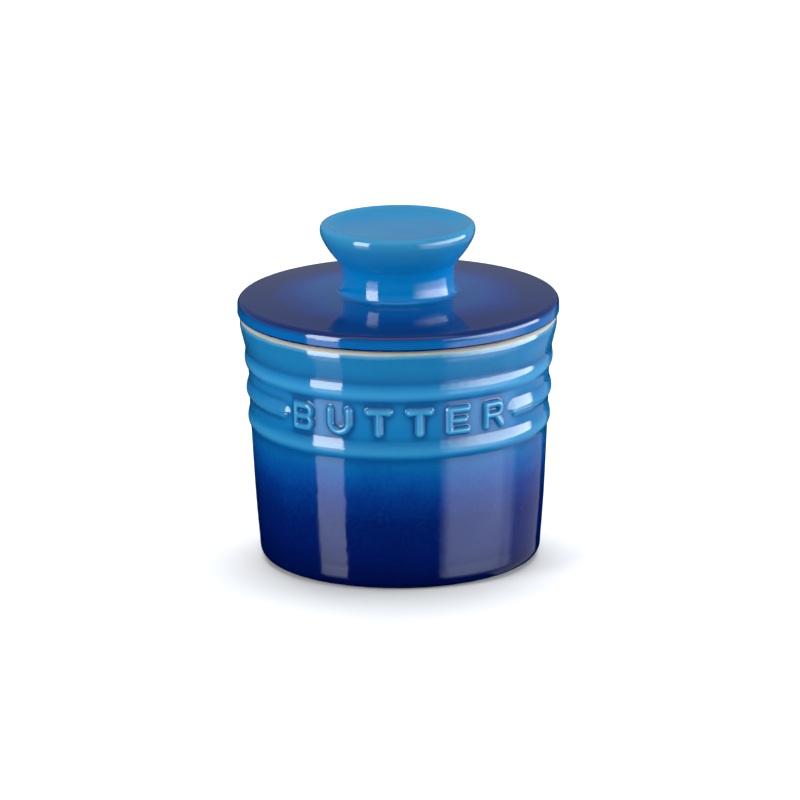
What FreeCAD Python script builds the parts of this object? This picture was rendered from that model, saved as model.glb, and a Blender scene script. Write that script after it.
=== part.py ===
import FreeCAD, Part

# Butter crock: a glazed stoneware pot that holds water, and a lid with a butter bell hanging under it.
# Millimetres, +Z up, the pot stands on z = 0 with its axis on Z, and the raised word faces -Y.

import math
import os

V = FreeCAD.Vector

# Pot, outside
FOOT_INNER_R = 36.4          # the foot ring it stands on
FOOT_OUTER_R = 43.0
FOOT_RECESS = 1.4            # the glazed underside is this far off the table
HEEL = (45.8, 2.8)           # where the rounded heel meets the wall
WALL_MID = (47.25, 22.5)
WALL_TOP = (48.2, 40.2)      # the plain wall ends and the ribs begin
RIM_WIDE = (51.7, 80.2)
POT_HEIGHT = 81.6
RIM_ROUND = 1.3

# Ribs: three low waves in the upper wall, at an even pitch
RIB_CREST = ((49.3, 47.2), (49.8, 56.8), (50.3, 66.5))
RIB_VALLEY = ((48.8, 52.5), (49.0, 61.9), (50.0, 70.3))
MIDDLE_RIB_CURVE = 12.9      # radius of the middle rib's section
PANEL_HALF_ANGLE = 48.0      # the middle rib stops this far either side of the front

# Pot, inside
FLOOR_Z = 7.0
FLOOR_FILLET_TOP = (40.6, 14.0)
MOUTH_R = 45.4

# Raised word, made of round-ended strokes
WORD = "BUTTER"
WORD_PITCH = 15.4            # degrees from letter to letter
WORD_Z = 57.2
WORD_OUTER_R = 49.75
STROKE = 1.7
HALF_W = 3.2                 # half the width and height of a letter, measured on stroke centres
HALF_H = 3.55

# Lid plate
LID_R = 52.5
LID_ROUND_R = 50.0           # where the bullnose edge begins
LID_EDGE = 5.2
SEAT_R = 22.4                # flat seat for the knob
SEAT_Z = 88.5
UNDERSIDE_Z = 84.3           # underside inside the locating ring
RING_OUTER_R = 44.4          # locating ring, 1 mm clear of the mouth
RING_INNER_R = 41.4
RING_Z = 79.2

# Knob: a flared, dished grip, cast hollow
KNOB_R = 25.4
KNOB_TOP = 111.5
DISH_Z = 108.5
DISH_R = 22.6
CAVITY_TOP = 103.6

# Butter bell
BELL_MOUTH_Z = 23.6
BELL_MOUTH_R = 37.0
BELL_CROWN_R = 35.7
BELL_WALL = 4.3
BELL_ROOF_Z = 80.9


def at(point):
    """A profile point (radius, height) in the XZ plane."""
    return V(point[0], 0, point[1])


def line(a, b):
    return Part.makeLine(at(a), at(b))


def arc(a, middle, b):
    return Part.Arc(at(a), at(middle), at(b)).toShape()


def curve(points):
    """A smooth curve through all the points."""
    spline = Part.BSplineCurve()
    spline.interpolate([at(p) for p in points])
    return spline.toShape()


def corner(a, centre, b):
    """An arc from a to b about a centre, the short way round."""
    radius = math.hypot(a[0] - centre[0], a[1] - centre[1])
    mid = ((a[0] + b[0]) / 2 - centre[0], (a[1] + b[1]) / 2 - centre[1])
    scale = radius / math.hypot(*mid)
    return arc(a, (centre[0] + mid[0] * scale, centre[1] + mid[1] * scale), b)


def turned(edges):
    """The solid that a closed profile sweeps in one turn about Z."""
    face = Part.Face(Part.Wire(edges))
    return face.revolve(V(0, 0, 0), V(0, 0, 1), 360)


def tube(inner, outer, low, high):
    """A plain ring, used to trim the relief on the wall."""
    whole = Part.makeCylinder(outer, high - low, V(0, 0, low))
    return whole.cut(Part.makeCylinder(inner, high - low, V(0, 0, low)))


def pot_wall():
    """The pot without the middle rib: foot, heel, plain wall, two ribs, rim, inside."""
    heel_start = (FOOT_OUTER_R, 0)
    rim_out = (RIM_WIDE[0] - RIM_ROUND, POT_HEIGHT)
    rim_in = (MOUTH_R + 1.0, POT_HEIGHT)
    mouth = (MOUTH_R, POT_HEIGHT - 1.0)
    floor_start = (FLOOR_FILLET_TOP[0] - 6.6, FLOOR_Z)
    ribbed = [
        WALL_TOP, RIB_CREST[0], RIB_VALLEY[0], RIB_VALLEY[1],
        RIB_CREST[2], RIB_VALLEY[2], (51.5, 76.9), RIM_WIDE,
    ]
    edges = [
        line((0, FOOT_RECESS), (FOOT_INNER_R - 1, FOOT_RECESS)),
        line((FOOT_INNER_R - 1, FOOT_RECESS), (FOOT_INNER_R, 0)),
        line((FOOT_INNER_R, 0), heel_start),
        corner(heel_start, (FOOT_OUTER_R, HEEL[1]), HEEL),
        arc(HEEL, WALL_MID, WALL_TOP),
        curve(ribbed),
        corner(RIM_WIDE, (rim_out[0], RIM_WIDE[1]), rim_out),
        line(rim_out, rim_in),
        corner(rim_in, (rim_in[0], mouth[1]), mouth),
        line(mouth, FLOOR_FILLET_TOP),
        corner(FLOOR_FILLET_TOP, (floor_start[0], FLOOR_FILLET_TOP[1]), floor_start),
        line(floor_start, (0, FLOOR_Z)),
        line((0, FLOOR_Z), (0, FOOT_RECESS)),
    ]
    return turned(edges)


def middle_rib():
    """The middle rib runs round the back and sides, and ends in two rounded noses at the panel."""
    crest_r, crest_z = RIB_CREST[1]
    ring_r = crest_r - MIDDLE_RIB_CURVE
    sweep = 360 - 2 * PANEL_HALF_ANGLE
    rib = Part.makeTorus(ring_r, MIDDLE_RIB_CURVE, V(0, 0, crest_z), V(0, 0, 1), -180, 180, sweep)
    rib.rotate(V(0, 0, 0), V(0, 0, 1), -90 + PANEL_HALF_ANGLE)
    for side in (-1, 1):
        turn = math.radians(-90 + side * PANEL_HALF_ANGLE)
        nose = V(ring_r * math.cos(turn), ring_r * math.sin(turn), crest_z)
        rib = rib.fuse(Part.makeSphere(MIDDLE_RIB_CURVE, nose))
    return rib.common(tube(47.2, 51.0, crest_z - 5.0, crest_z + 5.0))


def bar(u0, v0, u1, v1):
    """A straight stroke with round ends, between two points given in half-widths and half-heights."""
    x0, z0, x1, z1 = u0 * HALF_W, v0 * HALF_H, u1 * HALF_W, v1 * HALF_H
    length = math.hypot(x1 - x0, z1 - z0)
    depth = 4.0
    back = -WORD_OUTER_R - 0.6
    body = Part.makeBox(length, depth, STROKE, V(0, back, -STROKE / 2))
    body.rotate(V(0, 0, 0), V(0, 1, 0), -math.degrees(math.atan2(z1 - z0, x1 - x0)))
    body.translate(V(x0, 0, z0))
    for x, z in ((x0, z0), (x1, z1)):
        body = body.fuse(Part.makeCylinder(STROKE / 2, depth, V(x, back, z), V(0, 1, 0)))
    return body


def half_ring(u, v, radius, start):
    """Half a ring of stroke about a centre; start is the angle its first end stands at."""
    back = V(u * HALF_W, -WORD_OUTER_R - 0.6, v * HALF_H)
    ring = Part.makeCylinder(radius + STROKE / 2, 4.0, back, V(0, 1, 0), 180)
    ring = ring.cut(Part.makeCylinder(radius - STROKE / 2, 4.0, back, V(0, 1, 0)))
    ring.rotate(back, V(0, 1, 0), -start)
    return ring


def letter(name):
    """The strokes of one letter, facing -Y and centred on x = 0, z = 0."""
    bowl = HALF_H / 2
    spine = [bar(-1, -1, -1, 1)]
    upper_bowl = [bar(-1, 1, 0.3, 1), bar(-1, 0, 0.3, 0), half_ring(0.3, 0.5, bowl, 90)]
    strokes = {
        "B": lambda: spine + upper_bowl + [bar(-1, -1, 0.3, -1), half_ring(0.3, -0.5, bowl, 90)],
        "U": lambda: [bar(-1, 1, -1, -0.1), bar(1, 1, 1, -0.1), half_ring(0, -0.1, HALF_W, 0)],
        "T": lambda: [bar(-1, 1, 1, 1), bar(0, 1, 0, -1)],
        "E": lambda: spine + [bar(-1, v, u, v) for u, v in ((0.85, 1), (0.6, 0), (0.85, -1))],
        "R": lambda: spine + upper_bowl + [bar(0.1, 0, 0.95, -1)],
    }[name]()
    return strokes[0].fuse(strokes[1:])


def raised_word():
    """The letters in a row round the front, all trimmed to one cylinder just proud of the panel."""
    letters = []
    for index, name in enumerate(WORD):
        shape = letter(name)
        shape.translate(V(0, 0, WORD_Z))
        shape.rotate(V(0, 0, 0), V(0, 0, 1), (index - (len(WORD) - 1) / 2) * WORD_PITCH)
        letters.append(shape)
    word = letters[0].fuse(letters[1:])
    return word.common(tube(47.0, WORD_OUTER_R, WORD_Z - 6, WORD_Z + 6))


def crock_pot():
    return pot_wall().fuse([middle_rib(), raised_word()]).removeSplitter()


def lid_plate():
    """The disc with a bullnose edge, a gently crowned top and a locating ring underneath."""
    low_edge = (LID_ROUND_R, POT_HEIGHT)
    high_edge = (LID_ROUND_R, POT_HEIGHT + LID_EDGE)
    ring_root = (RING_OUTER_R + 0.6, POT_HEIGHT)
    edges = [
        line((0, UNDERSIDE_Z), (RING_INNER_R - 2, UNDERSIDE_Z)),
        corner((RING_INNER_R - 2, UNDERSIDE_Z), (RING_INNER_R - 2, UNDERSIDE_Z - 2),
               (RING_INNER_R, UNDERSIDE_Z - 2)),
        line((RING_INNER_R, UNDERSIDE_Z - 2), (RING_INNER_R, RING_Z + 0.8)),
        arc((RING_INNER_R, RING_Z + 0.8), ((RING_INNER_R + RING_OUTER_R) / 2, RING_Z - 0.4),
            (RING_OUTER_R, RING_Z + 0.8)),
        line((RING_OUTER_R, RING_Z + 0.8), (RING_OUTER_R, POT_HEIGHT - 0.6)),
        corner((RING_OUTER_R, POT_HEIGHT - 0.6), (ring_root[0], POT_HEIGHT - 0.6), ring_root),
        line(ring_root, low_edge),
        arc(low_edge, (LID_R, POT_HEIGHT + LID_EDGE / 2), high_edge),
        arc(high_edge, (37.0, 87.9), (SEAT_R + 0.2, SEAT_Z)),
        line((SEAT_R + 0.2, SEAT_Z), (0, SEAT_Z)),
        line((0, SEAT_Z), (0, UNDERSIDE_Z)),
    ]
    return turned(edges)


def lid_knob():
    """The grip: a waisted neck flaring to a dished top, hollow inside and open onto the plate."""
    root = (SEAT_R, SEAT_Z)
    root_top = (SEAT_R, SEAT_Z + 0.25)
    waist = (18.1, 93.0)
    lip_out = (KNOB_R, KNOB_TOP - 1.6)
    lip_in = (DISH_R + 0.9, KNOB_TOP - 0.7)
    dish_edge = (DISH_R - 2.0, DISH_Z)
    edges = [
        line((12.6, SEAT_Z), root),
        line(root, root_top),
        corner(root_top, (SEAT_R + 0.1, waist[1]), waist),
        curve([waist, (18.3, 96.0), (19.4, 98.8), (20.9, 100.9), (22.7, 103.3), (24.4, 106.2), lip_out]),
        arc(lip_out, (KNOB_R - 0.75, KNOB_TOP - 0.25), (KNOB_R - 1.3, KNOB_TOP)),
        corner((KNOB_R - 1.3, KNOB_TOP), (KNOB_R - 1.3, lip_in[1]), lip_in),
        curve([lip_in, (DISH_R - 0.4, DISH_Z + 0.8), dish_edge]),
        line(dish_edge, (0, DISH_Z - 0.4)),
        line((0, DISH_Z - 0.4), (0, CAVITY_TOP)),
        line((0, CAVITY_TOP), (13.6, CAVITY_TOP)),
        arc((13.6, CAVITY_TOP), (15.6, 102.6), (15.4, 100.4)),
        curve([(15.4, 100.4), (13.9, 96.6), (12.6, 92.0)]),
        line((12.6, 92.0), (12.6, SEAT_Z)),
    ]
    return turned(edges)


def butter_bell():
    """The cup that hangs mouth down in the water, closed by a crown under the plate."""
    lip = BELL_WALL / 2
    outer = (BELL_MOUTH_R, BELL_MOUTH_Z + lip)
    inner = (BELL_MOUTH_R - BELL_WALL, BELL_MOUTH_Z + lip)
    roof_turn = (BELL_CROWN_R - BELL_WALL, BELL_ROOF_Z - 7)
    edges = [
        line((0, UNDERSIDE_Z), (BELL_CROWN_R - 2, UNDERSIDE_Z)),
        corner((BELL_CROWN_R - 2, UNDERSIDE_Z), (BELL_CROWN_R - 2, UNDERSIDE_Z - 2),
               (BELL_CROWN_R, UNDERSIDE_Z - 2)),
        line((BELL_CROWN_R, UNDERSIDE_Z - 2), outer),
        arc(outer, (BELL_MOUTH_R - lip, BELL_MOUTH_Z), inner),
        line(inner, roof_turn),
        corner(roof_turn, (roof_turn[0] - 7, roof_turn[1]), (roof_turn[0] - 7, BELL_ROOF_Z)),
        line((roof_turn[0] - 7, BELL_ROOF_Z), (0, BELL_ROOF_Z)),
        line((0, BELL_ROOF_Z), (0, UNDERSIDE_Z)),
    ]
    return turned(edges)


def main():
    os.makedirs("parts", exist_ok=True)
    made = {
        "crock_pot": crock_pot(),
        "lid_plate": lid_plate(),
        "lid_knob": lid_knob(),
        "butter_bell": butter_bell(),
    }
    for node, shape in made.items():
        solid = shape.Solids[0] if len(shape.Solids) == 1 else shape
        print(node, "solids", len(shape.Solids), "valid", shape.isValid(), "cm3", round(shape.Volume / 1000, 1))
        solid.exportStep("parts/" + node + ".step")


main()
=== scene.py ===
# %% [markdown]
# # A butter crock in glazed stoneware
# This notebook dresses a finished CAD model for a picture. The object is a French-style butter
# crock: a pot that holds a little water, and a lid with a knob on top and a bell-shaped cup
# underneath. Butter is packed into the cup, the lid goes on, and the water closes the cup's mouth.
# Every surface is turned clay under glossy glaze, so what makes it look real is smooth curvature,
# crisp reflections and the way that the glaze changes colour.
#
# Blender works in metres, and everything is in the CAD model's own frame: the pot stands on z = 0,
# its axis is Z, and the raised word faces -Y. Outlines are written in millimetres, and `MM` turns
# them into metres.

import math

import bpy
import numpy as np
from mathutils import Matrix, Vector
from mathutils.geometry import interpolate_bezier


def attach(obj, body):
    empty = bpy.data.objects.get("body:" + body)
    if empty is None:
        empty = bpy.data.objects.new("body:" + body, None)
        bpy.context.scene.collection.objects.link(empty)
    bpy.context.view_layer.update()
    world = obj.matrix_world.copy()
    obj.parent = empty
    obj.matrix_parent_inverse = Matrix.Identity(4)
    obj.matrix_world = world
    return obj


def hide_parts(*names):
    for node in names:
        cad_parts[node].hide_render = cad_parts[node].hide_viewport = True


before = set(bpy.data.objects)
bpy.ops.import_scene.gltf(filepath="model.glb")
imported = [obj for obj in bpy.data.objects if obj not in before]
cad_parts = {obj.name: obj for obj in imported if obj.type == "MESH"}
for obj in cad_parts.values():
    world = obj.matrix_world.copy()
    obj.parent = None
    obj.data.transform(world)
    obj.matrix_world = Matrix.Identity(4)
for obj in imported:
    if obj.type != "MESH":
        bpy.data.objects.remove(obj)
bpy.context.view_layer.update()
MM = 0.001

# %% [markdown]
# ## Turning a pot
# A potter turns a shape by holding a profile against spinning clay. Blender's Screw modifier does
# the same when it has no pitch: the section's outline is drawn once and swept round Z. The outline
# could be drawn with Bezier handles, but a list of corners, each with its own rounding radius,
# says more plainly what the maker decided. The first helper turns every corner into an arc and
# divides the straight runs, because long thin faces beside small ones spoil the shading of a
# glossy surface. Where clay flows in one long curve there are no corners to round, so the second
# helper leads a smooth curve through a few knots.


# %% Outlines: corners with a rounding radius, in millimetres
def divided(start, end, step=1.6):
    """Points from start up to, but not including, end."""
    count = max(1, math.ceil((end - start).length / step))
    return [start.lerp(end, i / count) for i in range(count)]


def rounded(corners, step=1.6, segments=10):
    """The outline through corners given as (radius, height, rounding)."""
    points = [Vector(c[:2]) for c in corners]
    outline = []
    pen = points[0]
    for before, here, after, corner in zip(points, points[1:], points[2:], corners[1:]):
        inward = (before - here).normalized()
        outward = (after - here).normalized()
        half = inward.angle(outward) / 2
        reach = corner[2] / math.tan(half)
        first = here + inward * reach
        last = here + outward * reach
        outline += divided(pen, first, step)
        if corner[2] > 0:
            centre = here + (inward + outward).normalized() * corner[2] / math.sin(half)
            for i in range(segments):
                spoke = (first - centre).slerp(last - centre, i / segments)
                outline.append(centre + spoke.normalized() * corner[2])
        pen = last
    return outline + divided(pen, points[-1], step) + [points[-1]]


def flowing(knots, step=0.5):
    """A smooth curve through knots, each given as (radius, height)."""
    points = [Vector(k) for k in knots]
    padded = [2 * points[0] - points[1]] + points + [2 * points[-1] - points[-2]]
    curve = []
    for before, a, b, after in zip(padded, padded[1:], padded[2:], padded[3:]):
        reach = (b - a).length / 3
        leave = a + (b - before).normalized() * reach
        arrive = b - (after - a).normalized() * reach
        count = max(2, math.ceil((b - a).length / step))
        curve += [p.to_2d() for p in interpolate_bezier(a, leave, arrive, b, count + 1)][:-1]
    return curve + [points[-1]]


corner_and_runs = rounded([(0, 0, 0), (10, 0, 3), (10, 10, 0)])
print("one rounded corner and its two runs take", len(corner_and_runs), "points")


# %% Spinning an outline into a closed body
def deselect_all():
    if bpy.context.object and bpy.context.object.mode == "EDIT":
        bpy.ops.object.mode_set(mode="OBJECT")
    bpy.ops.object.select_all(action="DESELECT")


def drawn(name, lines):
    """A wire mesh of one or more open lines of 3-D points, drawn as a curve first."""
    deselect_all()
    bpy.ops.curve.primitive_bezier_curve_add()
    wire = bpy.context.object
    wire.name = name
    wire.data.dimensions = "3D"
    wire.data.splines.clear()
    for line in lines:
        spline = wire.data.splines.new("POLY")
        spline.points.add(len(line) - 1)
        for point, place in zip(spline.points, line):
            point.co = (*place, 1)
    bpy.ops.object.convert(target="MESH")
    return bpy.context.object


def spun(name, outline, steps):
    """The outline, swept once round Z and closed."""
    body = drawn(name, [[(p[0] * MM, 0, p[1] * MM) for p in outline]])
    screw = body.modifiers.new("turn", "SCREW")
    screw.steps = screw.render_steps = steps
    screw.use_merge_vertices = True
    screw.merge_threshold = 1e-6
    bpy.ops.object.modifier_apply(modifier=screw.name)
    bpy.ops.object.mode_set(mode="EDIT")
    bpy.ops.mesh.select_all(action="SELECT")
    bpy.ops.mesh.remove_doubles(threshold=1e-6)
    bpy.ops.mesh.normals_make_consistent(inside=False)
    bpy.ops.object.mode_set(mode="OBJECT")
    bpy.ops.object.shade_smooth_by_angle(angle=math.radians(40))
    print(name, "has", len(body.data.polygons), "faces")
    return body


# %% [markdown]
# ## The pot's wall
# The wall leaves a rounded heel, leans out a little, and carries three low ribs at one pitch
# before it flares to the rim. Two ribs run all the way round, so they belong in the outline: each
# is a bump added to the smooth wall. The middle rib stops at the panel with the word, so it isn't
# turned, and comes later.

# %% The wall's outline and the ribs
POT_HEIGHT = 81.6
POT_FLOOR = 7.0
FOOT_RECESS = 1.4
HEEL_TOP = 6.6
BAND_LOW, BAND_HIGH = 51.8, 62.6

RIB_ABOVE, RIB_BELOW = 4.1, 2.5
LOW_RIB = (47.1, 0.80)
MIDDLE_RIB = (56.7, 0.95)
HIGH_RIB = (66.4, 0.80)

WALL = flowing([
    (45.75, 4.2), (46.4, 11.0), (47.25, 22.5), (48.2, 40.2), (48.8, 52.6),
    (49.05, 61.9), (50.0, 70.3), (51.35, 76.2), (51.75, 78.5), (51.5, 80.2),
])


def wall_radius(height):
    """The smooth wall's radius at a height, with no ribs."""
    return np.interp(height, [p[1] for p in WALL], [p[0] for p in WALL])


def rib_section(distance):
    """A rib's section, from 1 at the crest to 0 at its foot."""
    return np.clip(1 - distance ** 2, 0, 1) ** 1.5


def rib_height(offset, crest):
    """How far a rib stands out; it falls slowly above its crest and quickly below."""
    upper = rib_section(offset / RIB_ABOVE)
    lower = rib_section(offset / RIB_BELOW)
    return crest * np.where(offset > 0, upper, lower)


def ribbed_wall(low, high, step):
    """The outside wall's outline between two heights, with the two turned ribs."""
    heights = np.arange(low, high + step / 2, step)
    radii = wall_radius(heights)
    for middle, crest in (LOW_RIB, HIGH_RIB):
        radii = radii + rib_height(heights - middle, crest)
    return [Vector(p) for p in zip(radii, heights)]


foot_corners = [
    (0, FOOT_RECESS, 0), (35.6, FOOT_RECESS, 0.5), (36.4, 0, 0.4),
    (45.6, 0, 4.4), (46.0, HEEL_TOP, 0),
]
rim_and_inside_corners = [
    (51.6, 79.7, 0), (51.3, POT_HEIGHT, 1.9), (45.4, POT_HEIGHT, 1.0),
    (40.1, POT_FLOOR, 6.8), (0, POT_FLOOR, 0),
]
below = rounded(foot_corners, 3.0)[:-1]
below += ribbed_wall(HEEL_TOP, 41.8, 1.6)
below += ribbed_wall(42.3, BAND_LOW - 0.5, 0.5)
band = ribbed_wall(BAND_LOW, BAND_HIGH, 0.27)
above = ribbed_wall(BAND_HIGH + 0.5, 71.5, 0.5)
above += ribbed_wall(72.4, 79.2, 0.85)
above += rounded(rim_and_inside_corners, 3.2)
print("outline points:", len(below), len(band), len(above))

# %% [markdown]
# ### Three parts for one wall
# The band with the word needs a much finer mesh than the rest. Subdividing only the band would
# leave faces with many sides along its edges, and they pinch a reflection. So the pot is spun in
# three parts, a plain one below, a fine band and a plain one above. Bridge Edge Loops then closes
# the gaps between their rings.

# %% Spin the three parts and bridge them
ROUND_STEPS = 208
BAND_STEPS = 1248
OUTSIDE_RADIUS = 47
pot_below = spun("crock_pot_body", below, ROUND_STEPS)
pot_band = spun("pot_band", band, BAND_STEPS)
pot_above = spun("pot_above", above, ROUND_STEPS)
deselect_all()
for turned in (pot_band, pot_above, pot_below):
    turned.select_set(True)
bpy.context.view_layer.objects.active = pot_below
bpy.ops.object.join()
pot = bpy.context.object


def select_rings(body, rings):
    """Selects the edge rings that lie at the given outside heights, in millimetres."""
    bpy.ops.object.mode_set(mode="OBJECT")
    mesh = body.data
    for item in (mesh.vertices, mesh.edges, mesh.polygons):
        item.foreach_set("select", [False] * len(item))
    at_ring = [
        v.co.to_2d().length > OUTSIDE_RADIUS * MM and any(abs(v.co.z - z * MM) < 1e-5 for z in rings)
        for v in mesh.vertices
    ]
    for edge in mesh.edges:
        a, b = edge.vertices
        level = abs(mesh.vertices[a].co.z - mesh.vertices[b].co.z) < 1e-6
        edge.select = at_ring[a] and at_ring[b] and level
    bpy.ops.object.mode_set(mode="EDIT")
    bpy.ops.mesh.select_mode(type="EDGE")


for rings in ((below[-1].y, band[0].y), (band[-1].y, above[0].y)):
    select_rings(pot, rings)
    bpy.ops.mesh.bridge_edge_loops()
bpy.ops.mesh.select_all(action="SELECT")
bpy.ops.mesh.normals_make_consistent(inside=False)
bpy.ops.object.mode_set(mode="OBJECT")
bpy.ops.object.shade_smooth()
print("pot:", len(pot.data.polygons), "faces")

# %% [markdown]
# ## The middle rib and the raised word
# On the real pot this relief is cut into the mould, and the glaze then rounds it. Text could be
# extruded and joined with a boolean, but its edges would stay hard and the joint would shade
# badly. Here only centre lines are drawn: a ring that stops either side of the panel, and the
# strokes of a plain word. Letters of one stroke width need no more than straight lines and half
# circles.

# %% Centre lines, drawn on the wall
PANEL_HALF_ANGLE = math.radians(50)
WORD = "BUTTER"
WORD_PITCH = math.radians(15.4)
WORD_Z = 57.2
WORD_RADIUS = 48.95
HALF_W, HALF_H = 3.2, 3.55


def on_wall(angle, height, radius=WORD_RADIUS):
    """A point on the wall; angle 0 is the front, growing towards +X."""
    return (radius * math.sin(angle) * MM, -radius * math.cos(angle) * MM, height * MM)


def straight(u0, v0, u1, v1):
    """A stroke between two points, in half-widths and half-heights of a letter."""
    ends = Vector((u0 * HALF_W, v0 * HALF_H)), Vector((u1 * HALF_W, v1 * HALF_H))
    return divided(*ends, step=0.8) + [ends[1]]


def half_turn(u, v, radius, start):
    """Half a circle about a centre, from the angle start, clockwise."""
    turns = [math.radians(start - 180 * i / 16) for i in range(17)]
    centre = Vector((u * HALF_W, v * HALF_H))
    return [centre + radius * Vector((math.cos(t), math.sin(t))) for t in turns]


SPINE = [straight(-1, -1, -1, 1)]
UPPER_BOWL = [straight(-1, 1, 0.3, 1), straight(-1, 0, 0.3, 0), half_turn(0.3, 0.5, HALF_H / 2, 90)]
LOWER_BOWL = [straight(-1, -1, 0.3, -1), half_turn(0.3, -0.5, HALF_H / 2, 90)]
LETTERS = {
    "B": SPINE + UPPER_BOWL + LOWER_BOWL,
    "U": [straight(-1, 1, -1, -0.1), straight(1, 1, 1, -0.1), half_turn(0, -0.1, HALF_W, 0)],
    "T": [straight(-1, 1, 1, 1), straight(0, 1, 0, -1)],
    "E": SPINE + [straight(-1, 1, 0.85, 1), straight(-1, 0, 0.6, 0), straight(-1, -1, 0.85, -1)],
    "R": SPINE + UPPER_BOWL + [straight(0.1, 0, 0.95, -1)],
}

word_lines = []
for index, name in enumerate(WORD):
    middle = (index - (len(WORD) - 1) / 2) * WORD_PITCH
    for stroke in LETTERS[name]:
        word_lines.append([on_wall(middle + p.x / WORD_RADIUS, WORD_Z + p.y) for p in stroke])
rib_angles = np.linspace(PANEL_HALF_ANGLE, 2 * math.pi - PANEL_HALF_ANGLE, 400)
rib_line = [on_wall(a, MIDDLE_RIB[0], wall_radius(MIDDLE_RIB[0])) for a in rib_angles]
print("strokes:", len(word_lines))

# %% [markdown]
# ### Raising the wall round the lines
# The Vertex Weight Proximity modifier measures how far each point of the wall is from the lines
# and turns that into a weight by a curve, and Displace raises the wall by the weight. The rib's
# ends and the strokes come out soft and round-nosed, as glaze leaves them. The rib is steeper
# below its crest than above, so it is raised in two goes.


# %% Raise the wall round the lines
FALLOFF_STEPS = 8


def raise_round(body, name, lines, in_zone, edge, section, crest):
    """Raises the wall near the lines, by crest on a line and by nothing at the distance edge from it.

    Section gives the share of the crest between them, for a share of that distance.
    """
    wire = drawn(name + "_lines", lines)
    deselect_all()
    body.select_set(True)
    bpy.context.view_layer.objects.active = body
    group = body.vertex_groups.new(name=name)
    near = [v.index for v in body.data.vertices if in_zone(v.co)]
    group.add(near, 1.0, "REPLACE")
    weigh = body.modifiers.new("weigh_" + name, "VERTEX_WEIGHT_PROXIMITY")
    weigh.vertex_group = name
    weigh.target = wire
    weigh.proximity_mode = "GEOMETRY"
    weigh.proximity_geometry = {"EDGE"}
    weigh.min_dist = edge * MM
    weigh.max_dist = 0
    weigh.falloff_type = "CURVE"
    falloff = weigh.map_curve.curves[0]
    falloff.points[-1].location = (1, 1)
    for i in range(1, FALLOFF_STEPS):
        falloff.points.new(i / FALLOFF_STEPS, float(section(1 - i / FALLOFF_STEPS)))
    weigh.map_curve.update()
    bpy.ops.object.modifier_apply(modifier=weigh.name)
    lift = body.modifiers.new("lift_" + name, "DISPLACE")
    lift.vertex_group = name
    lift.mid_level = 0
    lift.strength = crest * MM
    bpy.ops.object.modifier_apply(modifier=lift.name)
    bpy.data.objects.remove(wire)
    print(name, "raised over", len(near), "points")


def on_outside(point, middle, below, above):
    """True for points of the outside wall from so far below a height to so far above it."""
    offset = point.z / MM - middle
    return -below < offset <= above and point.to_2d().length > OUTSIDE_RADIUS * MM


def above_the_rib_line(point):
    return on_outside(point, MIDDLE_RIB[0], 0, RIB_ABOVE)


def below_the_rib_line(point):
    return on_outside(point, MIDDLE_RIB[0], RIB_BELOW, 0)


STROKE_EDGE = 1.45
STROKE_CREST = 1.15


def in_the_panel(point):
    half_height = HALF_H + STROKE_EDGE + 0.3
    at_the_front = point.y < 0 and abs(point.x) < 40 * MM
    return at_the_front and on_outside(point, WORD_Z, half_height, half_height)


def stroke_section(distance):
    """A stroke's section: fuller than a rib's, with steeper sides."""
    return np.clip(1 - distance ** 2.4, 0, 1) ** 1.25


raise_round(pot, "rib_above", [rib_line], above_the_rib_line, RIB_ABOVE, rib_section, MIDDLE_RIB[1])
raise_round(pot, "rib_below", [rib_line], below_the_rib_line, RIB_BELOW, rib_section, MIDDLE_RIB[1])
raise_round(pot, "word", word_lines, in_the_panel, STROKE_EDGE, stroke_section, STROKE_CREST)
pot.vertex_groups.clear()

# %% [markdown]
# ## The lid's plate
# The plate is a thin disc with a rounded edge. Its top rises slightly to the knob, which draws the
# knob's reflection in it out long. Underneath, a locating ring keeps the lid centred in the pot's
# mouth. Outside the ring the plate rests on the rim with a narrow seat, and then stands a hair
# clear of it, which gives a dark line between lid and pot; a band of painted shade at the foot of
# the lid's edge deepens that line.

# %% Spin the plate
LID_RADIUS = 52.5
LID_UNDERSIDE = 84.3
LID_EDGE_TOP = 86.85
LID_TOP = 88.5
RING_BOTTOM = 79.2
CLEAR_OF_RIM = POT_HEIGHT + 0.15

underside_and_edge = rounded([
    (0, LID_UNDERSIDE, 0), (41.4, LID_UNDERSIDE, 2.0),
    (41.4, RING_BOTTOM, 1.3), (44.4, RING_BOTTOM, 1.3),
    (44.4, POT_HEIGHT, 0.6), (47.2, POT_HEIGHT, 0.3),
    (47.9, CLEAR_OF_RIM, 0.3), (LID_RADIUS, CLEAR_OF_RIM, 0.7),
    (LID_RADIUS, LID_EDGE_TOP, 2.1), (49.5, LID_EDGE_TOP + 0.1, 0),
])
slope_knots = [(49.5, LID_EDGE_TOP + 0.1), (44.0, 87.4), (37.0, 87.9), (28.0, 88.35), (23.0, 88.48)]
slope = flowing(slope_knots, step=1.0)
centre = Vector((0, LID_TOP))
under_the_knob = divided(Vector((21, LID_TOP)), centre, 3) + [centre]
lid = spun("lid_plate_disc", underside_and_edge[:-1] + slope + under_the_knob, ROUND_STEPS)

# %% [markdown]
# ## The knob
# The knob has a waisted neck, flares to a wide lip and is dished on top, so that the lid can be
# turned over and stood on it. It is cast hollow, because a solid lump of clay this thick would
# crack in the kiln. The neck runs into the plate with a soft root of slip under the glaze.

# %% Spin the knob
KNOB_TOP = 111.5
HOLLOW_TOP = 103.6
DISH_EDGE = Vector((16.5, 108.8))
DISH_MIDDLE = Vector((0, 108.5))

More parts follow.
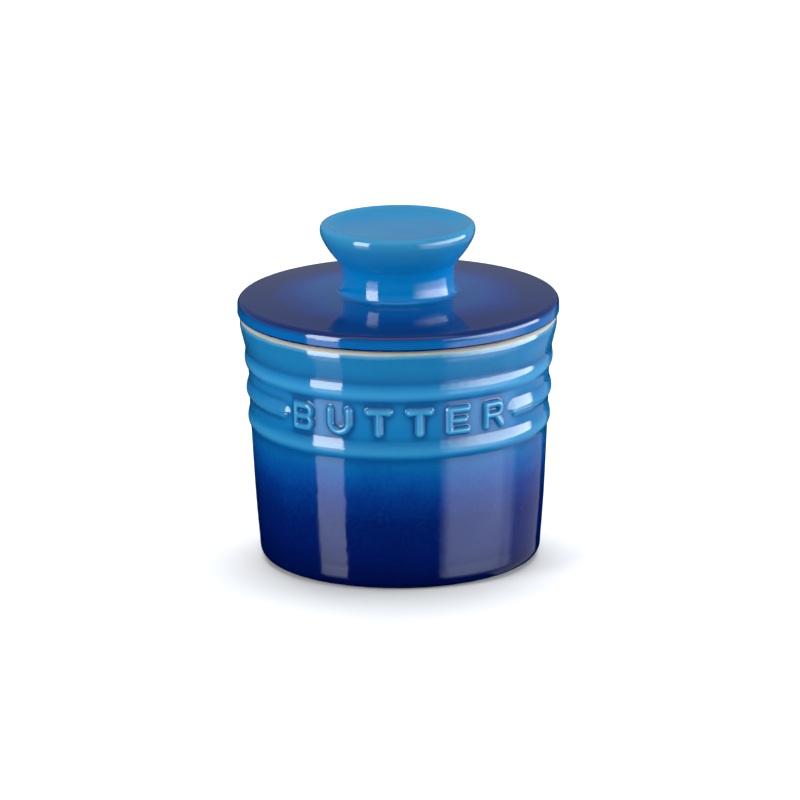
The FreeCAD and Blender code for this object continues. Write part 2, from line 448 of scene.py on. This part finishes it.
hollow = rounded([
    (0, HOLLOW_TOP, 0), (15.4, HOLLOW_TOP, 2.2), (13.9, 96.6, 6), (12.6, 92.0, 4),
    (12.6, LID_TOP, 0), (20.5, LID_TOP - 0.1, 0),
])
root = [(20.6, LID_TOP), (19.9, 88.62), (19.3, 88.98), (18.85, 89.7), (18.5, 90.8)]
neck = [(18.3, 92.2), (18.25, 94.0), (18.4, 96.2), (19.2, 98.6)]
flare = [(20.8, 100.7), (22.7, 103.2), (24.3, 105.9), (25.2, 108.0)]
lip = [(25.4, 109.5), (25.1, 110.7), (24.4, 111.35), (23.5, KNOB_TOP), (22.3, 111.0)]
into_the_dish = [(20.8, 109.9), (18.9, 109.1), DISH_EDGE]
grip = flowing(root + neck + flare + lip + into_the_dish, step=0.4)
dish = divided(DISH_EDGE, DISH_MIDDLE, 2.0)[1:] + [DISH_MIDDLE]
knob = spun("lid_knob_grip", hollow[:-1] + grip + dish, ROUND_STEPS)

# %% [markdown]
# ## The butter bell
# The bell hangs under the plate: a cup with a rounded roof inside and a rounded lip, a little
# wider at its mouth, so that it lets go of the mould and of the butter. It never shows while the
# lid is on, but it does when the lid is lifted, so it is spun with the same care as the rest.

# %% Spin the bell
BELL_MOUTH = 23.6
BELL_ROOF = 80.9
bell_outline = rounded([
    (0, LID_UNDERSIDE, 0), (35.7, LID_UNDERSIDE, 2.0),
    (37.0, BELL_MOUTH, 2.1), (32.7, BELL_MOUTH, 2.1),
    (31.3, BELL_ROOF, 7.0), (0, BELL_ROOF, 0),
])
bell = spun("butter_bell_cup", bell_outline, ROUND_STEPS)

# %% [markdown]
# ## Glaze
# Stoneware glaze is coloured glass a fraction of a millimetre thick, over pale clay. One flat
# colour would look like paint. Each material here mixes its colours with a few nodes, driven by
# Object coordinates: height for the pot and the knob, distance from the axis for the plate. An
# image texture would need a seam somewhere round a turned shape. This has none, and the pattern
# stays on the clay when the lid is lifted.


# %% Node helpers
def new_material(name):
    """A material with one Principled shader, and the shader."""
    material = bpy.data.materials.new(name)
    material.use_nodes = True
    nodes = material.node_tree.nodes
    nodes.clear()
    output = nodes.new("ShaderNodeOutputMaterial")
    shader = nodes.new("ShaderNodeBsdfPrincipled")
    material.node_tree.links.new(shader.outputs["BSDF"], output.inputs["Surface"])
    return material, shader


def join(material, value, socket):
    """Gives a socket another node's output, a number or a colour."""
    if isinstance(value, bpy.types.NodeSocket):
        material.node_tree.links.new(value, socket)
    elif isinstance(value, tuple):
        socket.default_value = (*value, 1)
    else:
        socket.default_value = value


def math_node(material, operation, a, b=0.0, clamp=False):
    made = material.node_tree.nodes.new("ShaderNodeMath")
    made.operation = operation
    made.use_clamp = clamp
    join(material, a, made.inputs[0])
    join(material, b, made.inputs[1])
    return made.outputs[0]


def remapped(material, value, start, end, to_start=0.0, to_end=1.0):
    """The value, carried from one range to another and held at its ends."""
    made = material.node_tree.nodes.new("ShaderNodeMapRange")
    for socket, number in zip(made.inputs, (value, start, end, to_start, to_end)):
        join(material, number, socket)
    return made.outputs[0]


# %% Noise, ramps and coordinates
def noise(material, place, scale, detail):
    """Clouds between 0 and 1; a larger scale makes them smaller."""
    made = material.node_tree.nodes.new("ShaderNodeTexNoise")
    join(material, place, made.inputs["Vector"])
    made.inputs["Scale"].default_value = scale
    made.inputs["Detail"].default_value = detail
    return made.outputs[0]


def wandering(material, value, cloud, amount):
    """The value, moved up and down by a noise, by at most half the amount."""
    shift = math_node(material, "MULTIPLY", math_node(material, "SUBTRACT", cloud, 0.5), amount)
    return math_node(material, "ADD", value, shift)


def ramp(material, factor, stops):
    """A colour ramp with the given (place, colour) stops."""
    made = material.node_tree.nodes.new("ShaderNodeValToRGB")
    join(material, factor, made.inputs[0])
    elements = made.color_ramp.elements
    while len(elements) < len(stops):
        elements.new(0.5)
    for element, (place, colour) in zip(elements, stops):
        element.position = place
        element.color = (*colour, 1)
    return made.outputs["Color"]


def mixed(material, factor, a, b):
    """Colour a where the factor is 0, and b where it is 1."""
    made = material.node_tree.nodes.new("ShaderNodeMix")
    made.data_type = "RGBA"
    join(material, factor, made.inputs["Factor"])
    join(material, a, made.inputs["A"])
    join(material, b, made.inputs["B"])
    return made.outputs["Result"]


def object_axes(material):
    """Object coordinates, the distance from the axis, and the height."""
    place = material.node_tree.nodes.new("ShaderNodeTexCoord").outputs["Object"]
    split = material.node_tree.nodes.new("ShaderNodeSeparateXYZ")
    join(material, place, split.inputs[0])
    x, y, z = split.outputs
    x_squared = math_node(material, "MULTIPLY", x, x)
    y_squared = math_node(material, "MULTIPLY", y, y)
    radius = math_node(material, "SQRT", math_node(material, "ADD", x_squared, y_squared))
    return place, radius, z


# %% The finish that all the glazes share
GLOSS = 0.075


def finish_glaze(material, shader, place, colour, roughness=GLOSS):
    """Gloss, with the faint waves that a fired glaze keeps."""
    bump = material.node_tree.nodes.new("ShaderNodeBump")
    bump.inputs["Strength"].default_value = 0.10
    bump.inputs["Distance"].default_value = 0.4 * MM
    join(material, noise(material, place, 260.0, 2.0), bump.inputs["Height"])
    join(material, bump.outputs["Normal"], shader.inputs["Normal"])
    join(material, colour, shader.inputs["Base Color"])
    shader.inputs["Roughness"].default_value = roughness
    shader.inputs["IOR"].default_value = 1.5
    print(material.name, "has", len(material.node_tree.nodes), "nodes")


# %% [markdown]
# ### Where the glaze runs thin, with painted light and shade
# Over a rib or a letter the melting glaze drains away and the pale body shows through. In the
# groove beside it the glaze pools and goes darker. The colours here go further than the glaze
# would: the paler crests are also a painted highlight where the edges catch the lamps, and the
# darker grooves are also painted shade under each rib and letter. The Geometry node's Pointiness
# could find such places, but it depends on how fine the mesh is. The relief itself is known: it is
# how far a point stands out of the smooth wall. Evening it a little, and a lot, and taking the
# difference leaves crests above zero and grooves below. An attribute takes the result to the
# material.


# %% The relief, as an attribute on the pot
def outside_relief(body):
    """How far each point stands out of the smooth wall, in millimetres."""
    places = np.empty(len(body.data.vertices) * 3)
    body.data.vertices.foreach_get("co", places)
    places = places.reshape(-1, 3) / MM
    radii = np.hypot(places[:, 0], places[:, 1])
    relief = radii - wall_radius(places[:, 2])
    above_the_heel = places[:, 2] > 6
    on_the_outside = relief > -0.5
    return np.where(on_the_outside & above_the_heel, relief, 0)


def evened(body, values, rounds):
    """The values, averaged with their neighbours' along the edges, over and over."""
    ends = np.empty(len(body.data.edges) * 2, dtype=np.int32)
    body.data.edges.foreach_get("vertices", ends)
    one, other = ends.reshape(-1, 2).T
    count = len(values)
    shares = 1 + np.bincount(ends, minlength=count)
    for _ in range(rounds):
        sums = np.bincount(one, values[other], count) + np.bincount(other, values[one], count)
        values = (values + sums) / shares
    return values


relief = outside_relief(pot)
crests_and_grooves = evened(pot, relief, 3) - evened(pot, relief, 60)
layer = pot.data.attributes.new("crest_and_groove", "FLOAT", "POINT")
layer.data.foreach_set("value", crests_and_grooves.astype(np.float32))
print("crest_and_groove from", round(crests_and_grooves.min(), 3), "to", round(crests_and_grooves.max(), 3))

# %% [markdown]
# ### The pot's blue
# The real pot is sprayed bright at the top and navy at the foot, and the coats run into each other
# in the kiln. A colour ramp over the height gives the shading, and noise moves each level up and
# down a little, as a spray does. The rim and the foot ring are wiped bare before firing, so that
# they can't fuse to the lid or to the kiln's shelf, and just below the rim's bare line the glaze
# is thin.

# %% Glaze colours, from the rim down to the heel
RIM_BLUE = (0.007, 0.120, 0.275)
SKY = (0.010, 0.140, 0.335)
AZURE = (0.002, 0.110, 0.280)
BLUE = (0.0003, 0.0520, 0.220)
ROYAL = (0.0002, 0.0200, 0.142)
NAVY = (0.0001, 0.0078, 0.084)
INK = (0.0001, 0.0050, 0.072)
DEEP = (0.0001, 0.0034, 0.050)
SPECK = (0.04, 0.26, 0.48)
# Crest colour: thin glaze, and also a painted highlight on the edges that catch the lamps.
THIN_GLAZE_AND_HIGHLIGHT_BLUE = (0.07, 0.33, 0.52)
WASHED_BLUE = (0.12, 0.33, 0.45)
CREAM = (0.34, 0.335, 0.30)
BARE_LINE = 80.0
BARE_FOOT = 0.3
WASH_DEPTH = 1.2
print("bright band at", SKY, "and heel at", DEEP)

# %% The pot's blue material
pot_blue, shader = new_material("pot_blue_glaze")
place, radius, height = object_axes(pot_blue)
mist = noise(pot_blue, place, 60.0, 4.0)
grain = noise(pot_blue, place, 800.0, 3.0)
sprayed = wandering(pot_blue, wandering(pot_blue, height, mist, 9 * MM), grain, 1.5 * MM)
level = math_node(pot_blue, "DIVIDE", sprayed, POT_HEIGHT * MM, clamp=True)
coats = ramp(pot_blue, level, [
    (0.06, DEEP), (0.15, INK), (0.28, NAVY), (0.38, ROYAL),
    (0.463, BLUE), (0.56, AZURE), (0.82, SKY), (0.93, RIM_BLUE),
])
specks = math_node(pot_blue, "MULTIPLY", remapped(pot_blue, grain, 0.45, 0.75, 0.0, 0.07), level)
coats = mixed(pot_blue, specks, coats, SPECK)

# The relief paints the grooves darker, as pooled glaze and as painted shade under each rib and
# letter, and the crests paler, as thin glaze and as a painted highlight.
relief_node = pot_blue.node_tree.nodes.new("ShaderNodeAttribute")
relief_node.attribute_name = "crest_and_groove"
crests_and_grooves = relief_node.outputs["Fac"]
pooled_glaze_and_shade = remapped(pot_blue, crests_and_grooves, -0.01, -0.22, 0.0, 0.95)
coats = mixed(pot_blue, pooled_glaze_and_shade, coats, mixed(pot_blue, 0.6, coats, NAVY))
coats = mixed(pot_blue, remapped(pot_blue, crests_and_grooves, 0.03, 0.75, 0.0, 0.66), coats, THIN_GLAZE_AND_HIGHLIGHT_BLUE)

brush = wandering(pot_blue, height, noise(pot_blue, place, 90.0, 2.0), 0.8 * MM)
wash_from, wash_to = (BARE_LINE - WASH_DEPTH) * MM, (BARE_LINE + 0.2) * MM
washed = remapped(pot_blue, brush, wash_from, wash_to, 0.0, 0.7)
bare_rim = remapped(pot_blue, brush, BARE_LINE * MM, (BARE_LINE + 0.3) * MM)
bare_foot = remapped(pot_blue, height, BARE_FOOT * MM, BARE_FOOT / 2 * MM)
bare = math_node(pot_blue, "ADD", bare_rim, bare_foot, clamp=True)
coats = mixed(pot_blue, bare, mixed(pot_blue, washed, coats, WASHED_BLUE), CREAM)
finish_glaze(pot_blue, shader, place, coats)
join(pot_blue, remapped(pot_blue, bare, 0.0, 1.0, GLOSS, 0.55), shader.inputs["Roughness"])

# %% [markdown]
# ### The cream inside
# Inside the pot, under the lid and all over the bell the glaze is a glossy cream. Slow noise lets
# the clay show a little warmer in places, which one even colour wouldn't do. The tones are deeper
# than they look in daylight, because the lamps are strong and the bell is seen close under them
# when the lid is lifted.

# %% The cream material
cream_glaze, shader = new_material("cream_glaze")
place, _, _ = object_axes(cream_glaze)
clouds = noise(cream_glaze, place, 45.0, 5.0)
WARM_CREAM = (0.45, 0.42, 0.345)
PALE_CREAM = (0.51, 0.485, 0.42)
cream = ramp(cream_glaze, clouds, [(0.3, WARM_CREAM), (0.7, PALE_CREAM)])
finish_glaze(cream_glaze, shader, place, cream, roughness=0.08)

# %% [markdown]
# ### The lid's blues
# The plate is navy and brightens towards the knob, where the bright glaze of the knob has run down
# on to it, so its ramp follows the distance from the axis. Its edge is bright again. Right at the
# bottom of the edge a dark band is painted shade: it stands for the shadow in the gap between lid
# and rim. The knob's root wears the plate's glaze and the neck its own, so both materials call one
# function.

# %% The plate's material
HALO = (0.002, 0.085, 0.290)
PLATE_NAVY = (0.002, 0.012, 0.078)
EDGE_BLUE = (0.001, 0.080, 0.260)
# Below this height the lid's edge is painted deep navy, as painted shade for the gap over the rim.
GAP_SHADE_LINE = 82.5


def plate_glaze(material, place, radius):
    """Bright round the knob, deep navy over the plate."""
    drift = wandering(material, radius, noise(material, place, 60.0, 4.0), 6 * MM)
    out = math_node(material, "DIVIDE", drift, LID_RADIUS * MM, clamp=True)
    stops = [(0.38, HALO), (0.52, BLUE), (0.66, ROYAL), (0.80, PLATE_NAVY)]
    return ramp(material, out, stops)


lid_blue, shader = new_material("lid_blue_glaze")
place, radius, height = object_axes(lid_blue)
edge = remapped(lid_blue, height, (LID_EDGE_TOP - 0.65) * MM, (LID_EDGE_TOP - 2.35) * MM)
coats = mixed(lid_blue, edge, plate_glaze(lid_blue, place, radius), EDGE_BLUE)
# Painted shade: the foot of the edge goes dark, standing for the shadow in the gap between lid and
# rim.
painted_gap_shade = remapped(lid_blue, height, GAP_SHADE_LINE * MM, (GAP_SHADE_LINE - 0.1) * MM)
finish_glaze(lid_blue, shader, place, mixed(lid_blue, painted_gap_shade, coats, DEEP))

# %% The knob's material
NECK = (0.0005, 0.150, 0.410)
DISH_BLUE = (0.02, 0.17, 0.33)
knob_blue, shader = new_material("knob_blue_glaze")
place, radius, height = object_axes(knob_blue)
level = remapped(knob_blue, height, 88.0 * MM, KNOB_TOP * MM)
level = wandering(knob_blue, level, noise(knob_blue, place, 70.0, 4.0), 0.25)
grip_glaze = ramp(knob_blue, level, [(0.0, NECK), (0.50, NECK), (0.78, SKY), (0.95, DISH_BLUE)])
up_the_neck = remapped(knob_blue, height, LID_TOP * MM, (LID_TOP + 1) * MM)
coats = mixed(knob_blue, up_the_neck, plate_glaze(knob_blue, place, radius), grip_glaze)
finish_glaze(knob_blue, shader, place, coats)

# %% [markdown]
# ### Coating the pieces
# The pot is dipped inside and sprayed outside, so it has two finishes on one clay body, and so has
# the plate. A mask in the material could divide them, but each face has a material index, and
# choosing it by the face's place gives a crisp line where the maker wipes one.


# %% Put the glazes on the pieces
def coat(body, outside, inside=None, is_inside=None):
    """The outside glaze, and the inside glaze on faces where is_inside(radius, height) is true."""
    body.data.materials.clear()
    body.data.materials.append(outside)
    if inside is None:
        return
    body.data.materials.append(inside)
    centres = np.empty(len(body.data.polygons) * 3)
    body.data.polygons.foreach_get("center", centres)
    centres = centres.reshape(-1, 3) / MM
    picked = is_inside(np.hypot(centres[:, 0], centres[:, 1]), centres[:, 2])
    body.data.polygons.foreach_set("material_index", picked.astype(int))
    print(body.name, "inside glaze on", int(picked.sum()), "faces")


def in_the_pot(radius, height):
    """The inside, from the rim's flat top down, and the recess under the foot."""
    return np.where(height < 5, radius < 36.3, radius < wall_radius(height) - 3)


def under_the_lid(radius, height):
    """The plate's underside, the locating ring and the seat."""
    return (height < LID_UNDERSIDE + 0.2) & (radius < 50.0)


coat(pot, pot_blue, cream_glaze, in_the_pot)
coat(lid, lid_blue, cream_glaze, under_the_lid)
coat(knob, knob_blue)
coat(bell, cream_glaze)

# %% [markdown]
# ## Riding on the CAD bodies
# The CAD model knows two bodies, the pot and the lid, and the lid lifts straight up. Keyframes
# could move the pieces, but then the pose would live in two places. Each new piece rides on its
# body instead, and stands for the CAD node whose shape it refines. The plate, the knob and the
# bell all belong to the lid.

# %% Ride with the CAD bodies
for piece, body, cad, slot in (
    (pot, "pot", "crock_pot", "pot_glaze"),
    (lid, "lid", "lid_plate", "lid_glaze"),
    (knob, "lid", "lid_knob", "knob_glaze"),
    (bell, "lid", "butter_bell", "bell_glaze"),
):
    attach(piece, body)
    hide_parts(cad)
    print(piece.name, "rides on", body, "with", len(piece.data.polygons), "faces")

# %% [markdown]
# ## The floor
# The crock stands on plain pale paper, with no sheen of its own. The paper is hidden from
# reflections, because a glossy navy wall that mirrored a white floor would turn grey.

# %% Floor
deselect_all()
bpy.ops.mesh.primitive_plane_add(size=8, location=(0, 0, 0))
floor = bpy.context.object
floor.name = "floor"
floor_paper, shader = new_material("floor_paper")
shader.inputs["Base Color"].default_value = (0.76, 0.77, 0.78, 1)
shader.inputs["Roughness"].default_value = 1.0
shader.inputs["Specular IOR Level"].default_value = 0.0
floor.data.materials.append(floor_paper)
floor.visible_glossy = False
print("floor", floor.dimensions.x, "m wide")

# %% [markdown]
# ## Soft boxes
# Gloss shows its lamps, so they are placed by where they should appear on the wall. A tall narrow
# box at the left draws the straight bright strip down the pot, and a wide soft window at the right
# gives the broad sheen. One lamp with a hard edge would look like a sticker. The window is several
# boxes a centimetre apart, each a little smaller, so that it fades at its edges. The lower wall
# faces downwards a little and sees lower, so each lamp goes on below eye level as a dimmer and
# bluer foot, built up in the same way, which leans a little as the reflections do.


# %% Soft boxes
MIDDLE_OF_CROCK = 0.05


def softbox(name, azimuth, low, high, distance, width, brightness, lean=0, tint=(1, 1, 1)):
    """An upright soft box that faces the crock, which sees it between two elevations.

    Azimuth 0 is the front, growing towards +X. The box leans about the middle of its top edge.
    Brightness is its radiance, so the power follows from its area. The camera doesn't see it.
    """
    a = math.radians(azimuth)
    bottom, top = (distance * math.tan(math.radians(e)) for e in (low, high))
    bpy.ops.object.light_add(type="AREA", rotation=(math.pi / 2, 0, a))
    box = bpy.context.object
    box.name = name
    box.rotation_euler.rotate_axis("Z", math.radians(lean))
    hinge = Vector((distance * math.sin(a), -distance * math.cos(a), MIDDLE_OF_CROCK + top))
    down = box.rotation_euler.to_matrix() @ Vector((0, -1, 0))
    box.location = hinge + down * (top - bottom) / 2
    box.data.shape = "RECTANGLE"
    box.data.size = width
    box.data.size_y = top - bottom
    box.data.energy = brightness * math.pi * width * (top - bottom)
    box.data.color = tint
    box.visible_camera = False
    return box


COOL = (0.55, 0.66, 1.0)
EYE_LINE = -10
STRIP_AZIMUTH = -54.5
STRIP_WIDTH = 0.53
STRIP_FOOT = {"azimuth": STRIP_AZIMUTH, "high": EYE_LINE, "width": STRIP_WIDTH, "lean": -8}

softbox("strip_left", STRIP_AZIMUTH, EYE_LINE, 30, 1.2, STRIP_WIDTH, 12.0)
for step in range(3):
    low, distance = -43 + 5 * step, 1.26 + 0.01 * step
    softbox(f"strip_left_foot_{step}", low=low, distance=distance, brightness=0.33, **STRIP_FOOT)
for step in range(4):
    name = f"strip_left_fade_{step}"
    low, distance = -31 + 2.2 * step, 1.21 + 0.01 * step
    softbox(name, low=low, distance=distance, brightness=0.55, tint=COOL, **STRIP_FOOT)

for step in range(5):
    azimuth, high = 74 + 3.2 * step, 22 - 2 * step
    distance, width = 1.20 + 0.01 * step, 2.3 - 0.26 * step
    softbox(f"window_right_{step}", azimuth, EYE_LINE, high, distance, width, 1.6)
for step in range(3):
    azimuth, low = 67 - 2 * step, -44 + 5 * step
    distance, width = 1.28 + 0.01 * step, 1.6 - 0.2 * step
    softbox(f"window_right_foot_{step}", azimuth, low, EYE_LINE, distance, width, 0.2, 6)
for step in range(6):
    azimuth, low = 67 - 0.9 * step, -33 + 1.5 * step
    distance, width = 1.21 + 0.01 * step, 1.81 - 0.144 * step
    softbox(f"window_right_fade_{step}", azimuth, low, EYE_LINE, distance, width, 0.42, 6, COOL)
softbox("window_right_rear", 122, -50, 6, 1.3, 1.3, 0.35)
fill_right = softbox("fill_right", 105, -4, 12, 1.6, 1.6, 5.0)
fill_right.visible_glossy = False
softbox("ceiling_glow", 0, 50, 75, 0.6, 1.6, 1.0)

# %% [markdown]
# ## The overhead box and the room
# A large box above and a little behind lights the floor evenly and draws the soft shadow round the
# foot. It stays out of the reflections, where it would wash out the plate. What the plate does
# mirror is the room behind it, so the world is pale above the horizon and dark below. That is what
# greys the navy of the plate at a low angle.


# %% Overhead box, and a pale room above the horizon
def aimed(place, target):
    """The rotation that points a lamp or a camera from a place to a target."""
    return (target - place).to_track_quat("-Z", "Y").to_euler()


OVERHEAD_SIZE = 1.5
OVERHEAD_RADIANCE = 5.0
place = Vector((0, 0.55, 1.45))
bpy.ops.object.light_add(type="AREA", location=place, rotation=aimed(place, Vector((0, 0, 0.06))))
overhead = bpy.context.object
overhead.name = "overhead"
overhead.data.size = OVERHEAD_SIZE
overhead.data.energy = OVERHEAD_RADIANCE * math.pi * OVERHEAD_SIZE ** 2
overhead.visible_camera = False
overhead.visible_glossy = False

world = bpy.data.worlds.new("studio")
bpy.context.scene.world = world
world.use_nodes = True
room = world.node_tree.nodes["Background"]
room.inputs["Color"].default_value = (0.93, 0.97, 1.0, 1)
direction = world.node_tree.nodes.new("ShaderNodeTexCoord").outputs["Generated"]
axes = world.node_tree.nodes.new("ShaderNodeSeparateXYZ")
join(world, direction, axes.inputs[0])
join(world, remapped(world, axes.outputs["Z"], 0.0, 0.08, 0.0, 0.25), room.inputs["Strength"])
print("room above the horizon:", room.inputs["Color"].default_value[:3])

# %% [markdown]
# ## The camera
# A catalogue picture is taken from a good way off with a long lens, so that the rim and the foot
# curve alike and the pot doesn't seem to taper. The camera looks a little down, far enough to show
# the plate and the knob's dish. Its lens follows from how wide a view it needs where the crock
# stands. The Standard view transform keeps the paper white and the blues as deep as they were
# mixed; a filmic one would soften them.

# %% Camera
ELEVATION = math.radians(15.2)
DISTANCE = 3.0
VIEW_WIDTH = 0.26143791
TILT = math.radians(-0.5)
target = Vector((0.0003, 0, 0.0517))
place = target + DISTANCE * Vector((0, -math.cos(ELEVATION), math.sin(ELEVATION)))
bpy.ops.object.camera_add(location=place, rotation=aimed(place, target))
camera = bpy.context.object
camera.rotation_euler.rotate_axis("Z", TILT)
camera.data.lens = camera.data.sensor_width * DISTANCE / VIEW_WIDTH
camera.data.clip_end = 20
bpy.context.scene.camera = camera
bpy.context.scene.view_settings.view_transform = "Standard"
print("lens", round(camera.data.lens), "mm")
